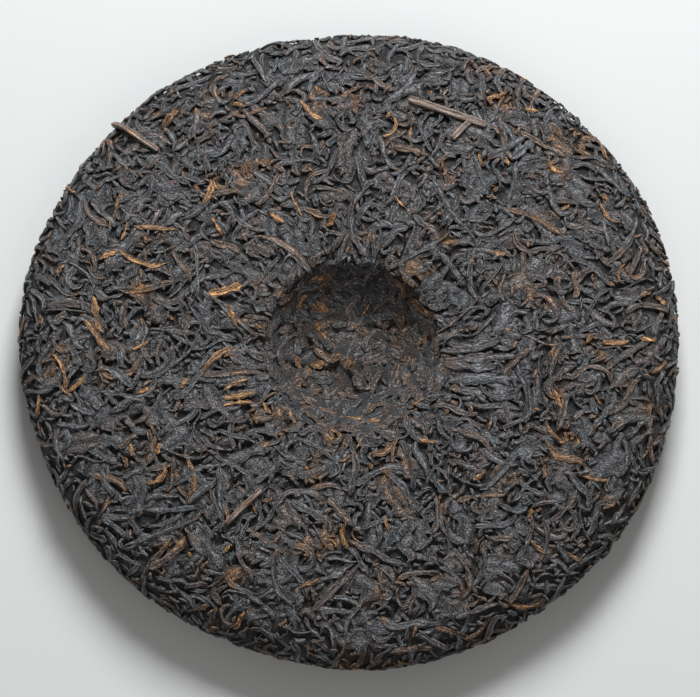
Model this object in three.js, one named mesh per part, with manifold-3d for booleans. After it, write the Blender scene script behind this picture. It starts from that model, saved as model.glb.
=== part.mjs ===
// A round pressed tea cake, 357 g, lying flat with its dimpled back up.
// The cake is a mass of twisted dark leaves pressed in a cloth bag. The knot of the bag leaves a round
// dimple in the middle of the back. The other face is a low dome, which rests on the table.
// Units are millimetres, +Z is up, and the origin is under the middle of the cake, on the table.
import * as THREE from "three";
import { mergeVertices } from "three/addons/utils/BufferGeometryUtils.js";
import Module from "manifold-3d";

// Driving dimensions of the cake.
const CAKE_RADIUS = 97;
const SHOULDER_RADIUS = 84;
const BACK_HEIGHT = 24;
const SHOULDER_HEIGHT = 19.5;
const RIM_HEIGHT = 10.8;
const UNDER_EDGE_RADIUS = 86;
const UNDER_EDGE_HEIGHT = 3;
const REST_GAP = 0.1;

// Driving dimensions of the dimple.
const DIMPLE_RADIUS = 26.5;
const DIMPLE_FLOOR_RADIUS = 11;
const DIMPLE_FLOOR_HEIGHT = 11;
const KNOT_RISE = 1.6;

// The dimple lies a little off the middle: its shift along Y, which fades out between two radii.
const DIMPLE_SHIFT = -3;
const DIMPLE_SHIFT_REACH = [30, 75];

// The outline is not a true circle: each term is [lobes, size, direction of one lobe in degrees].
const OUTLINE_TERMS = [
  [2, 0.9, 172],
  [3, 0.7, 165],
  [7, 0.4, 20],
];

// The two faces are slightly wavy.
const WAVE_HEIGHT = 0.5;
const WAVE_LENGTH = 46;

// Core facets, and the small bumps of the leaves that are too fine to model one by one.
const CORE_DETAIL = 8;
const BUMP_HEIGHT = 0.4;

// Pressed leaves, from the largest to the smallest.
const LEAF_COUNT = 175;
const LONG_LEAF_COUNT = 45;
const LEAF_LENGTH = [27, 10];
const LEAF_WIDTH = [3.8, 2.4];
const LEAF_CREST = [1.35, 1];
const LEAF_ROOT = 1.1;
const LONG_LEAF_STATIONS = 5;
const SHORT_LEAF_STATIONS = 3;
const LEAF_BEND = 2.1;
const LEAF_END_WIDTH = 0.35;
const SEED = 357;

// Stems, as [middle x, middle y, heading in degrees, length, diameter], on the back face.
const STEMS = [
  [28.9, 70.2, -20, 24, 2.3],
  [33.5, 65.2, 47, 9, 1.9],
  [-64.5, 63.8, -37, 18, 1.7],
  [-31.9, -50.5, 48, 15, 1.8],
];
const STEM_SIDES = 6;
const STEM_SINK = 0.15;

// Broad flat leaves, as [middle x, middle y, heading in degrees, length, width], on the back face.
const BROAD_LEAVES = [
  [-42.3, 60.3, 20, 17, 10],
  [53, 46.6, 62, 24, 9],
  [-80, -21.2, 75, 14, 9],
  [-22, -75, 5, 24, 10],
  [2, -88, -35, 17, 9],
  [24, 87.2, 8, 20, 8],
];
const BLADE_STATIONS = 5;
const BLADE_THICKNESS = 0.7;
const BLADE_WAVE = 0.3;

const FULL_TURN = 2 * Math.PI;
const GOLDEN_ANGLE = Math.PI * (3 - Math.sqrt(5));
const SECTION_STEPS = 400;
const WELD_GAP = 0.1;

// A seeded random number from 0 to 1.
function makeRandom(seed) {
  let state = seed;
  return () => {
    state = (state + 0x6d2b79f5) | 0;
    let t = Math.imul(state ^ (state >>> 15), 1 | state);
    t = (t + Math.imul(t ^ (t >>> 7), 61 | t)) ^ t;
    return ((t ^ (t >>> 14)) >>> 0) / 4294967296;
  };
}

const random = makeRandom(SEED);
const between = (low, high) => low + (high - low) * random();
const mix = ([first, last], share) => first + (last - first) * share;

// Half of the cake's cross section, x = radius and y = height, from the middle of the dimple
// over the back, round the rim and along the underside to the axis.
function cakeSection() {
  const floorEnd = new THREE.Vector2(DIMPLE_FLOOR_RADIUS, DIMPLE_FLOOR_HEIGHT + 0.2);
  const section = new THREE.Path();
  section.moveTo(0, DIMPLE_FLOOR_HEIGHT + KNOT_RISE);
  section.bezierCurveTo(
    4, DIMPLE_FLOOR_HEIGHT + KNOT_RISE,
    7, DIMPLE_FLOOR_HEIGHT,
    floorEnd.x, floorEnd.y,
  );
  section.bezierCurveTo(
    floorEnd.x + 6.5, floorEnd.y + 0.4,
    DIMPLE_RADIUS - 3.3, BACK_HEIGHT - 4.2,
    DIMPLE_RADIUS, BACK_HEIGHT,
  );
  section.bezierCurveTo(
    DIMPLE_RADIUS + 14, BACK_HEIGHT + 2.6,
    SHOULDER_RADIUS - 18, SHOULDER_HEIGHT + 4.9,
    SHOULDER_RADIUS, SHOULDER_HEIGHT,
  );
  section.bezierCurveTo(
    SHOULDER_RADIUS + 8, SHOULDER_HEIGHT - 2.2,
    CAKE_RADIUS, RIM_HEIGHT + 4.2,
    CAKE_RADIUS, RIM_HEIGHT,
  );
  section.bezierCurveTo(
    CAKE_RADIUS, RIM_HEIGHT - 4.4,
    UNDER_EDGE_RADIUS + 6, UNDER_EDGE_HEIGHT + 1,
    UNDER_EDGE_RADIUS, UNDER_EDGE_HEIGHT,
  );
  section.bezierCurveTo(
    UNDER_EDGE_RADIUS - 15, REST_GAP + 0.5,
    UNDER_EDGE_RADIUS - 32, REST_GAP,
    0, REST_GAP,
  );
  section.arcLengthDivisions = SECTION_STEPS;
  return section;
}

const section = cakeSection();

// How far the outline stands out of the circle in a direction round the axis.
function outlineBulge(angle) {
  return OUTLINE_TERMS.reduce(
    (sum, [lobes, size, lobe]) => sum + size * Math.cos(lobes * (angle - THREE.MathUtils.degToRad(lobe))),
    0,
  );
}

// A low wave over the faces, zero on the resting part of the underside.
function faceWave(x, y, height) {
  const share = THREE.MathUtils.smoothstep(height, 4, 14);
  const k = FULL_TURN / WAVE_LENGTH;
  return share * WAVE_HEIGHT * Math.sin(k * x + 1.3) * Math.cos(k * y * 0.8 - 0.4);
}

// How far the surface is shifted along Y at a radius, which puts the dimple in its place.
function dimpleShift(radius) {
  return DIMPLE_SHIFT * (1 - THREE.MathUtils.smoothstep(radius, ...DIMPLE_SHIFT_REACH));
}

// The smooth pressed surface: position and outward normal at a share of the section's length,
// from 0 in the dimple to 1 under the cake, and at an angle round the axis.
function surfaceAt(share, angle) {
  const t = THREE.MathUtils.clamp(share, 0, 1);
  const at = section.getPointAt(t);
  const along = section.getTangentAt(THREE.MathUtils.clamp(t, 0.0005, 0.9995));
  const radius = at.x + (at.x / CAKE_RADIUS) ** 2 * outlineBulge(angle);
  const out = new THREE.Vector3(Math.cos(angle), Math.sin(angle), 0);
  const position = out.clone().multiplyScalar(radius).setZ(at.y);
  position.z += faceWave(position.x, position.y, at.y);
  const shift = dimpleShift(at.x);
  position.y += shift;
  const normal = out.clone().multiplyScalar(-along.y).setZ(along.x);
  const slope = out.clone().multiplyScalar(along.x).setZ(along.y);
  const round = new THREE.Vector3(-Math.sin(angle), Math.cos(angle), 0);
  return { position, normal, slope, round, radius, shift, slopeOut: along.x };
}

// The share of the section's length that bounds each share of the cake's surface area.
function areaTable() {
  const shares = [0];
  for (let i = 1; i <= SECTION_STEPS; i++) {
    const middle = section.getPointAt((i - 0.5) / SECTION_STEPS);
    shares.push(shares[i - 1] + middle.x);
  }
  return shares.map((area) => area / shares[SECTION_STEPS]);
}

const areaShares = areaTable();

// The share of the section's length below which lies the given share of the surface area.
function shareOfArea(area) {
  const next = Math.max(1, areaShares.findIndex((value) => value >= area));
  const low = areaShares[next - 1];
  const high = areaShares[next];
  return (next - 1 + (area - low) / (high - low)) / SECTION_STEPS;
}

// The share of the section's length at a radius of the back face.
function shareOnBack(radius) {
  let low = 0;
  let high = shareOfArea(0.55);
  for (let i = 0; i < 30; i++) {
    const middle = (low + high) / 2;
    if (section.getPointAt(middle).x < radius) low = middle;
    else high = middle;
  }
  return low;
}

// A closed solid from a geometry whose coincident vertices are still apart.
function solidFrom(wasm, geometry) {
  const bare = new THREE.BufferGeometry().setAttribute("position", geometry.getAttribute("position"));
  if (geometry.index) bare.setIndex(geometry.index);
  const merged = mergeVertices(bare, 1e-4);
  return new wasm.Manifold(
    new wasm.Mesh({
      numProp: 3,
      vertProperties: new Float32Array(merged.attributes.position.array),
      triVerts: new Uint32Array(merged.index.array),
    }),
  );
}

// The core: a ball of even triangles, drawn out over the cake's surface with equal areas
// and roughened with bumps the size of small leaves.
function coreGeometry() {
  const ball = new THREE.IcosahedronGeometry(1, CORE_DETAIL);
  ball.deleteAttribute("normal");
  ball.deleteAttribute("uv");
  const geometry = mergeVertices(ball, 1e-4);
  const position = geometry.attributes.position;
  for (let i = 0; i < position.count; i++) {
    const area = (1 - position.getZ(i)) / 2;
    const angle = Math.atan2(position.getY(i), position.getX(i));
    const at = surfaceAt(shareOfArea(THREE.MathUtils.clamp(area, 0, 1)), angle);
    at.position.addScaledVector(at.normal, between(-BUMP_HEIGHT, BUMP_HEIGHT));
    position.setXYZ(i, at.position.x, at.position.y, at.position.z);
  }
  return geometry;
}

// The place one straight step further over the surface, in the direction of the tangent.
function stepOver(from, distance) {
  const to = from.position.clone().addScaledVector(from.ahead, distance);
  const radiusGain = Math.hypot(to.x, to.y - from.shift) - from.radius;
  const slopeRadius = Math.hypot(from.slope.x, from.slope.y) * Math.sign(from.slopeOut);
  const gain = radiusGain * slopeRadius + (to.z - from.position.z) * from.slope.z;
  return stationAt(from.share + gain / section.getLength(), Math.atan2(to.y - from.shift, to.x), from.ahead);
}

// A station of a route: its place on the surface, and its direction laid flat on the surface there.
function stationAt(share, angle, direction) {
  const at = surfaceAt(share, angle);
  const ahead = direction.clone().addScaledVector(at.normal, -direction.dot(at.normal)).normalize();
  return { ...at, share, ahead };
}

// A route that lies on the surface and runs both ways from its middle. turn is the change of heading
// over its whole length, and sway bends its two halves opposite ways, so that it makes an S.
function surfaceRoute({ share, angle, heading, length, stations, turn = 0, sway = 0 }) {
  const distance = length / (stations - 1);
  const at = surfaceAt(share, angle);
  const across = at.slope.clone().multiplyScalar(Math.cos(heading)).addScaledVector(at.round, Math.sin(heading));
  const middle = stationAt(share, angle, across);
  const walk = (way, bend) => {
    const found = [];
    let station = middle;
    for (let i = 1; i <= (stations - 1) / 2; i++) {
      station = stepOver(station, way * distance);
      station.ahead.applyAxisAngle(station.normal, (way * bend) / (stations - 1));
      found.push(station);
    }
    return found;
  };
  return [...walk(-1, turn - sway).reverse(), middle, ...walk(1, turn + sway)];
}

// A tube of triangles through rings of points, closed by a flat fan at each end.
function skin(rings) {
  const sides = rings[0].length;
  const points = rings.flat();
  const index = [];
  for (let i = 0; i + 1 < rings.length; i++)
    for (let j = 0; j < sides; j++) {
      const a = i * sides + j;
      const b = i * sides + ((j + 1) % sides);
      index.push(a, a + sides, b, b, a + sides, b + sides);
    }
  const last = (rings.length - 1) * sides;
  for (let j = 1; j + 1 < sides; j++) {
    index.push(0, j, j + 1);
    index.push(last, last + j + 1, last + j);
  }
  const geometry = new THREE.BufferGeometry().setFromPoints(points);
  geometry.setIndex(index);
  return geometry;
}

// The cross direction of a route's station, to the left of its heading.
const leftOf = (station) => station.normal.clone().cross(station.ahead).normalize();

// A point beside and above a route's station.
function besideStation(station, side, lift) {
  return station.position
    .clone()
    .addScaledVector(leftOf(station), side)
    .addScaledVector(station.normal, lift);
}

// A twisted leaf: a ridge that tapers to both ends, with its foot sunk in the core.
function twistedLeaf(route, width, crest) {
  const rings = route.map((station, i) => {
    const along = (2 * i) / (route.length - 1) - 1;
    const half = (width / 2) * Math.max(LEAF_END_WIDTH, Math.sqrt(1 - along * along * 0.9));
    const lift = crest * (1 - 0.55 * along * along);
    const lean = between(-0.3, 0.3) * width;
    return [
      besideStation(station, half, -LEAF_ROOT),
      besideStation(station, -half, -LEAF_ROOT),
      besideStation(station, lean, lift),
    ];
  });
  return skin(rings);
}

// A broad leaf pressed flat: a thin wavy blade with a crease down its middle.
function broadLeaf(route, width) {
  const rings = route.map((station, i) => {
    const along = (2 * i) / (route.length - 1) - 1;
    const half = (width / 2) * Math.max(0.3, Math.sqrt(1 - along * along * 0.88));
    const wave = BLADE_WAVE * Math.sin(i * 1.9);
    return [
      besideStation(station, half, -LEAF_ROOT),
      besideStation(station, -half, -LEAF_ROOT),
      besideStation(station, -half * 0.9, BLADE_THICKNESS + wave),
      besideStation(station, half * 0.1, BLADE_THICKNESS - BLADE_WAVE),
      besideStation(station, half * 0.9, BLADE_THICKNESS - wave),
    ];
  });
  return skin(rings);
}

// A straight stem: a round stick with cut ends, pressed half into the leaves.
function stem(middle, heading, length, diameter) {
  const geometry = new THREE.CylinderGeometry(diameter / 2, diameter / 2, length, STEM_SIDES);
  geometry.rotateZ(heading - Math.PI / 2);
  geometry.translate(middle.x, middle.y, middle.z);
  return geometry;
}

// Where a point of the back face lies on the surface, and the heading there of a plain direction in degrees.
function onBack(x, y, degrees) {
  const middleY = dimpleShift(Math.hypot(x, y));
  const angle = Math.atan2(y - middleY, x);
  const share = shareOnBack(Math.hypot(x, y - middleY));
  const heading = THREE.MathUtils.degToRad(degrees) - angle;
  return { share, angle, heading };
}

// The k-th number of an evenly spreading row between 0 and 1, made by mirroring the digits of k in base 2.
function evenShare(k) {
  let value = 0;
  for (let bit = 0.5, rest = k + 1; rest > 0; bit /= 2, rest >>= 1) value += bit * (rest & 1);
  return value;
}

// The twisted leaves, from the largest to the smallest, spread evenly over the whole surface.
// Round the rim they run along it, and on the faces they point every way.
function twistedLeaves() {
  const leaves = [];
  for (let k = 0; k < LEAF_COUNT; k++) {
    const size = k / (LEAF_COUNT - 1);
    const share = shareOfArea(THREE.MathUtils.clamp(evenShare(k), 0.01, 0.985));
    const angle = k * GOLDEN_ANGLE;
    const onRim = surfaceAt(share, angle).radius > CAKE_RADIUS - 7;
    const route = surfaceRoute({
      share,
      angle,
      heading: onRim ? Math.PI / 2 + between(-0.3, 0.3) : between(0, FULL_TURN),
      length: mix(LEAF_LENGTH, size) * between(0.85, 1.15),
      stations: k < LONG_LEAF_COUNT ? LONG_LEAF_STATIONS : SHORT_LEAF_STATIONS,
      turn: between(-LEAF_BEND, LEAF_BEND) * (onRim ? 0.2 : 1),
      sway: between(-LEAF_BEND, LEAF_BEND) * (onRim ? 0.2 : 0.5),
    });
    leaves.push(twistedLeaf(route, mix(LEAF_WIDTH, size) * between(0.85, 1.15), mix(LEAF_CREST, size)));
  }
  return leaves;
}

function broadLeaves() {
  return BROAD_LEAVES.map(([x, y, degrees, length, width]) => {
    const route = surfaceRoute({ ...onBack(x, y, degrees), length, stations: BLADE_STATIONS, turn: 0.3 });
    return broadLeaf(route, width);
  });
}

function stems() {
  return STEMS.map(([x, y, degrees, length, diameter]) => {
    const place = onBack(x, y, degrees);
    const at = surfaceAt(place.share, place.angle);
    const middle = at.position.clone().setX(x).setY(y);
    middle.z += diameter / 2 - STEM_SINK;
    return stem(middle, THREE.MathUtils.degToRad(degrees), length, diameter);
  });
}

// Everything above the table, as one box.
function aboveTable() {
  const side = 4 * CAKE_RADIUS;
  return new THREE.BoxGeometry(side, side, side).translate(0, 0, side / 2);
}

// A solid's mesh as a three.js geometry.
function geometryOf(solid) {
  const mesh = solid.getMesh();
  const geometry = new THREE.BufferGeometry();
  geometry.setAttribute("position", new THREE.BufferAttribute(mesh.vertProperties, 3));
  geometry.setIndex(new THREE.BufferAttribute(mesh.triVerts, 1));
  return geometry;
}

// A fused solid's outer skin alone, which fills any hollow that the fusing sealed.
function outerSkin(wasm, fused) {
  const welded = solidFrom(wasm, geometryOf(fused.simplify(WELD_GAP)));
  return welded.decompose().sort((a, b) => b.volume() - a.volume())[0];
}

// The whole cake as one solid: the core with its leaves pressed on, flat where it rests on the table,
// and moved so that the middle of its box is over the origin.
async function teaCake() {
  const wasm = await Module();
  wasm.setup();
  const pieces = [coreGeometry(), ...broadLeaves(), ...twistedLeaves(), ...stems()];
  const solids = pieces.map((geometry) => solidFrom(wasm, geometry));
  const fused = wasm.Manifold.union(solids).intersect(solidFrom(wasm, aboveTable()));
  const geometry = geometryOf(outerSkin(wasm, fused));
  geometry.computeBoundingBox();
  const middle = geometry.boundingBox.getCenter(new THREE.Vector3());
  geometry.translate(-middle.x, -middle.y, 0);
  geometry.computeVertexNormals();
  return geometry;
}

const leafMaterial = new THREE.MeshStandardMaterial({ color: 0x37322e, roughness: 0.62, metalness: 0 });

const group = new THREE.Group();
const cake = new THREE.Mesh(await teaCake(), leafMaterial);
cake.name = "tea_cake";
group.add(cake);

export default group;
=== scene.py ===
"""The looks of a pressed tea cake: thousands of twisted leaves, pressed on a dark bed darkened more by
painted shade, with the dimple up.

Every leaf lies on the pile of the leaves under it, up to the level that the press left. Lengths are in
metres, +Z is up, and the origin is on the table under the middle of the cake's box.
"""

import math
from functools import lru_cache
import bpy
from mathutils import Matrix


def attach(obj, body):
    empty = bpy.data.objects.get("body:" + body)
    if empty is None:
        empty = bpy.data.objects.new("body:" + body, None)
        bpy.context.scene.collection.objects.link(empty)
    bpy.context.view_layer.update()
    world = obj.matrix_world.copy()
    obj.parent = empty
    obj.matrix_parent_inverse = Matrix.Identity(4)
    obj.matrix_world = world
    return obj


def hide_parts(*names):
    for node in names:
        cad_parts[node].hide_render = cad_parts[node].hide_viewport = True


bl_info = {
    "name": "Pressed Tea Cake",
    "version": (1, 0, 0),
    "blender": (4, 5, 0),
    "location": "3D View > Sidebar > Tea Cake",
    "description": "Builds a round cake of pressed, twisted tea leaves over its solid core",
    "category": "Add Mesh",
}

from types import SimpleNamespace
from typing import NamedTuple

import bpy
import numpy as np
from bpy.props import FloatProperty, FloatVectorProperty, IntProperty, PointerProperty
from mathutils import Vector

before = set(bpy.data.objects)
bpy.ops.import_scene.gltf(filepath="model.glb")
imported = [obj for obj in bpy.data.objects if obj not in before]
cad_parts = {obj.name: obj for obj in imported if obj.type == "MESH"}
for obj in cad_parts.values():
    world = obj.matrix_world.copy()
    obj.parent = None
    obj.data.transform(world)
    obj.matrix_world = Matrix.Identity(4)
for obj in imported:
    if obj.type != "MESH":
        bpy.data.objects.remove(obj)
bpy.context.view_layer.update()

MM = 0.001
NODE = "tea_cake"

# Driving dimensions of the cake and its dimple, as in the solid.
CAKE_RADIUS = 97 * MM
SHOULDER_RADIUS = 84 * MM
BACK_HEIGHT = 24 * MM
SHOULDER_HEIGHT = 19.5 * MM
RIM_HEIGHT = 10.8 * MM
UNDER_EDGE_RADIUS = 86 * MM
UNDER_EDGE_HEIGHT = 3 * MM
REST_GAP = 0.1 * MM
DIMPLE_RADIUS = 26.5 * MM
DIMPLE_FLOOR_RADIUS = 11 * MM
DIMPLE_FLOOR_HEIGHT = 11 * MM
KNOT_RISE = 1.6 * MM
WAVE_HEIGHT = 0.5 * MM
WAVE_LENGTH = 46 * MM
WAVE_RISE = (4 * MM, 14 * MM)

# Where the axis of the cake stands beside the origin, which is under the middle of the box.
AXIS = np.array((0.06 * MM, 0.67 * MM))

# The dimple lies a little off the middle: its shift along Y, which fades out between two radii.
DIMPLE_SHIFT = -3 * MM
DIMPLE_SHIFT_REACH = (30 * MM, 75 * MM)

# The outline is not a true circle: each term is (lobes, size in mm, direction of a lobe in degrees).
OUTLINE_TERMS = ((2, 0.9, 172), (3, 0.7, 165), (7, 0.4, 20))

# Pleats that the cloth left round the dimple: (direction in degrees, depth in mm, half width in degrees).
PLEATS = (
    (88, 0.9, 5),
    (101, 0.5, 3),
    (64, 0.6, 4),
    (-4, 0.8, 3.5),
    (-14, 0.6, 3),
    (9, 0.5, 3),
    (178, 0.8, 4),
    (190, 0.6, 3),
    (204, 0.7, 3),
    (160, 0.5, 4),
    (228, 0.5, 4),
    (-46, 0.6, 4),
    (-78, 0.4, 4),
    (35, 0.5, 4),
)
PLEAT_REACH = (17 * MM, 24 * MM, 30 * MM, 50 * MM)

# Folds of the leaf mat in the dimple: (from x, from y, to x, to y, height, half width), in millimetres.
FOLDS = (
    (-9, 5, 3, -8.5, 1.3, 1),
    (-19, -3, -4, -4, -1.5, 0.8),
    (-13.5, 1, -12, 5, -2, 0.8),
    (3.5, 9.3, 19, 8.5, -1.3, 0.8),
    (11, 7, 9, -8, -1.2, 0.9),
    (10, -8, 4, -15, -1.4, 1.1),
    (-4, -1.5, 1, -7.5, -1, 0.6),
    (-8, 8.5, 6, 10, 0.9, 1.2),
    (-17, -12, -9, -19, 0.8, 1.2),
)

# Handles of the cross section's curves at their start and at their end: (radius, height) in millimetres.
SECTION_HANDLES = (
    ((4, 0), (-4, -0.2)),
    ((6.5, 0.4), (-3.3, -4.2)),
    ((14, 2.6), (-18, 4.9)),
    ((8, -2.2), (0, 4.2)),
    ((0, -4.4), (6, 1)),
    ((-15, -2.4), (54, 0)),
)
CURVE_POINTS = 400
SECTION_POINTS = 2001

# Where each zone gives way to the next: two radii, and past the rim a share of the section's length.
DIMPLE_BLEND = (23.5 * MM, 27.5 * MM)
RIM_BLEND = (SHOULDER_RADIUS, SHOULDER_RADIUS + 9 * MM)
UNDER_BLEND = 0.1

# The radius inside which no leaf of the back reaches, those that bound the fields of the kinds of leaf, and
# how far the rim's field reaches past the rim, as a share of the section's length.
DIMPLE_EDGE = 25.3 * MM
DIMPLE_FIELD = 26 * MM
BACK_FIELD = 90 * MM
RIM_FIELD_REACH = 0.06

# The pile: how deep its bed lies under the smooth surface, and how far over it the press left the leaves,
# both as (back, dimple, rim, underside). Then how leaves and kinds differ from that, and how soft its cap is.
BED_DEPTH = (0.9 * MM, 0.2 * MM, 0.5 * MM, 1.0 * MM)
PRESS_LEVEL = (0.25 * MM, 0.1 * MM, 0.4 * MM, 0.2 * MM)
PRESS_SPREAD = 0.45 * MM
RIM_SPREAD = 1.3 * MM
CROWDING = 0.2 * MM
SCRAP_CROWDING = 0.12 * MM
BROAD_DEPTH = 0.25 * MM
PRESS_SOFTNESS = 0.12 * MM

# In the pile's cells, a leaf sinks in by no more than this, and has to fit with this share of its thickness.
# Its top falls by a share at its ends, and at the places across it.
CELL = 0.7 * MM
SINK = 0.3 * MM
FITTED_SHARE = 0.45
END_FALL = 0.7
ACROSS = np.array((-0.46, -0.16, 0.16, 0.46))
ACROSS_HEIGHT = np.array((0.7, 1.0, 1.0, 0.7))

# A leaf is left out where no more than this share of it lies within this depth of the pile's top.
HIDDEN_DEPTH = 0.12 * MM
HIDDEN_SHARE = 0.07

# Leaves beside the dimple point outwards: (least share, more of it along X), and the radii where that fades.
PULLED_SHARE = (0.2, 0.65)
PULLED_FADE = (32 * MM, 52 * MM)
PULLED_SPREAD = 0.35
ALONG_RIM_SHARE = 0.34
ALONG_RIM_SPREAD = 0.55

# How leaves of one kind differ: shapes of beta draws, and lowest and highest values.
SIZE_DRAW = (1.4, 2.0)
TONE_DRAW = (2.2, 2.6)
CURL_GAIN = (2, 4)
WIGGLE = (0, 0.3)
WIGGLE_PACE = (3, 7)
WOBBLE_SHARE = (0.4, 1)
TIP_WARMTH = (0.2, 0.9)
MOST_TURN = 5
TWIST_SPREAD = 0.9
WIDTH_WITH_LENGTH = 0.4
WARMTH_SHIFT = -0.07

# The two points under a leaf, as shares of its half width and of its thickness, how deep under the press's
# cap its painted shade is darkest,
# and how far over the table it ends: at least, and more by its level.
UNDER_SIDES = (-0.6, 0.6)
UNDER_DEPTH = 0.45
PAINTED_SHADE_DEPTH = 1.5 * MM
TABLE_GAP = (0.02 * MM, 0.2 * MM)

# The bed: rings with its poles, the finer rings in and beside the dimple, and the sines of its roughness.
BED_RINGS = 200
BED_SPOKES = 440
FINE_RINGS = 70
FINE_RADIUS = 34 * MM
BED_SEED = 5
BED_SINES = (9, 6, 4, 2.6, 1.8, 1.2)
BED_ROUGHNESS = 0.012
BED_LOWEST = 0.3 * MM


def blend(low, high, share):
    """low + (high - low) share."""
    return low + (high - low) * share


def smoothstep(value, low, high):
    """3 t^2 - 2 t^3, where t runs from 0 at low to 1 at high."""
    t = np.clip((value - low) / (high - low), 0, 1)
    return t * t * (3 - 2 * t)


def unit(vectors):
    """The vectors, each divided by its length."""
    return vectors / np.maximum(np.linalg.norm(vectors, axis=-1, keepdims=True), 1e-12)


def dot(a, b):
    """The sum of a b over the last axis, kept as an axis of one."""
    return np.sum(a * b, axis=-1, keepdims=True)


def bezier(ends, count):
    """The cubic curve (1-t)^3 a + 3 t (1-t)^2 b + 3 t^2 (1-t) c + t^3 d at even steps of t."""
    t = np.linspace(0, 1, count)[:, None]
    a, b, c, d = np.array(ends, float)
    return (1 - t) ** 3 * a + 3 * t * (1 - t) ** 2 * b + 3 * t**2 * (1 - t) * c + t**3 * d


def cake_section():
    """Half of the cross section as (radius, height), from the dimple's middle to the underside's middle.

    It is a chain of cubic curves, laid out again at even steps of its own length.
    """
    ends = np.array((
        (0, DIMPLE_FLOOR_HEIGHT + KNOT_RISE),
        (DIMPLE_FLOOR_RADIUS, DIMPLE_FLOOR_HEIGHT + 0.2 * MM),
        (DIMPLE_RADIUS, BACK_HEIGHT),
        (SHOULDER_RADIUS, SHOULDER_HEIGHT),
        (CAKE_RADIUS, RIM_HEIGHT),
        (UNDER_EDGE_RADIUS, UNDER_EDGE_HEIGHT),
        (0, REST_GAP),
    ))
    chain = ends[:1]
    for start, end, (leaving, arriving) in zip(ends, ends[1:], np.array(SECTION_HANDLES) * MM):
        curve = bezier((start, start + leaving, end + arriving, end), CURVE_POINTS)
        chain = np.concatenate((chain, curve[1:]))
    steps = np.linalg.norm(np.diff(chain, axis=0), axis=1)
    run = np.concatenate(([0], np.cumsum(steps)))
    share = np.linspace(0, 1, SECTION_POINTS)
    radius = np.interp(share, run / run[-1], chain[:, 0])
    height = np.interp(share, run / run[-1], chain[:, 1])
    ahead = unit(np.gradient(np.stack((radius, height), axis=1), axis=0))
    area = np.cumsum(radius)
    return SimpleNamespace(
        share=share,
        radius=radius,
        height=height,
        out=ahead[:, 0],
        up=ahead[:, 1],
        area=(area - area[0]) / (area[-1] - area[0]),
        length=run[-1],
        rim=share[np.argmax(radius)],
    )


SECTION = cake_section()


def section_at(share, row):
    """A row of the section, such as its radius, at a share of the section's length."""
    return np.interp(share, SECTION.share, row)


def share_of_area(area):
    """The share of the section's length below which lies the given share of the cake's surface."""
    return np.interp(area, SECTION.area, SECTION.share)


def share_on_back(radius):
    """The share of the section's length at a radius of the dimpled face."""
    back = SECTION.share < SECTION.rim
    return np.interp(radius, SECTION.radius[back], SECTION.share[back])


def zones(share):
    """How much each share of the section belongs to the (back, dimple, rim, underside): they add up to 1."""
    radius = section_at(share, SECTION.radius)
    under = smoothstep(share, SECTION.rim, SECTION.rim + UNDER_BLEND)
    rim = smoothstep(radius, *RIM_BLEND) * (1 - under)
    dimple = (1 - smoothstep(radius, *DIMPLE_BLEND)) * (share < SECTION.rim)
    return np.stack((1 - under - rim - dimple, dimple, rim, under), axis=-1)


def dimple_shift(radius):
    """How far the surface is shifted along Y at a radius of the section, to put the dimple in its place."""
    return DIMPLE_SHIFT * (1 - smoothstep(radius, *DIMPLE_SHIFT_REACH))


def surface(share, angle):
    """The smooth pressed surface: position, outward normal, slope and round directions.

    position = axis + (r cos a, r sin a + shift, h). r is the section's radius plus (r / R)^2 times the sum of
    size cos(lobes (a - way)), and h is its height, plus a low wave sin(k x + 1.3) cos(0.8 k y - 0.4), plus
    the folds and less the pleats.
    """
    share = np.clip(share, 0, 1)
    base = section_at(share, SECTION.radius)
    height = section_at(share, SECTION.height)
    out = section_at(share, SECTION.out)
    up = section_at(share, SECTION.up)
    bulge = sum(size * MM * np.cos(lobes * (angle - math.radians(way))) for lobes, size, way in OUTLINE_TERMS)
    radius = base + (base / CAKE_RADIUS) ** 2 * bulge
    cos, sin = np.cos(angle), np.sin(angle)
    x, y = radius * cos, radius * sin
    k = 2 * math.pi / WAVE_LENGTH
    wave = WAVE_HEIGHT * np.sin(k * x + 1.3) * np.cos(k * y * 0.8 - 0.4)
    z = height + wave * smoothstep(height, *WAVE_RISE)
    z = z + (folds(x, y) - pleats(base, angle)) * (share < SECTION.rim)
    position = np.stack((x + AXIS[0], y + AXIS[1] + dimple_shift(base), z), axis=-1)
    normal = np.stack((-up * cos, -up * sin, out), axis=-1)
    slope = np.stack((out * cos, out * sin, up), axis=-1)
    round_way = np.stack((-sin, cos, np.zeros_like(cos)), axis=-1)
    return position, normal, slope, round_way


def pleats(radius, angle):
    """The depth of the cloth's pleats: the sum of depth exp(-(a / width)^2), fading along the radius."""
    inner, full, outer, end = PLEAT_REACH
    fade = smoothstep(radius, inner, full) * (1 - smoothstep(radius, outer, end))
    depth = np.zeros_like(fade * angle)
    for direction, size, width in PLEATS:
        apart = np.angle(np.exp(1j * (angle - math.radians(direction))))
        depth = depth + size * MM * np.exp(-((apart / math.radians(width)) ** 2))
    return depth * fade


def folds(x, y):
    """The height of the dimple's folds: height exp(-(d / width)^2), where d is the distance from its line."""
    height = np.zeros_like(x)
    for x0, y0, x1, y1, rise, width in np.array(FOLDS) * MM:
        run = np.array((x1 - x0, y1 - y0))
        t = np.clip(((x - x0) * run[0] + (y - y0) * run[1]) / (run @ run), 0, 1)
        away = np.hypot(x - x0 - t * run[0], y - y0 - t * run[1])
        height = height + rise * np.exp(-((away / width) ** 2))
    return height


def on_back(x, y):
    """The share of the section and the angle round the axis of a place on the dimpled face."""
    x = x - AXIS[0]
    y = y - AXIS[1]
    y = y - dimple_shift(np.hypot(x, y))
    return share_on_back(np.hypot(x, y)), np.arctan2(y, x)


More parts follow.
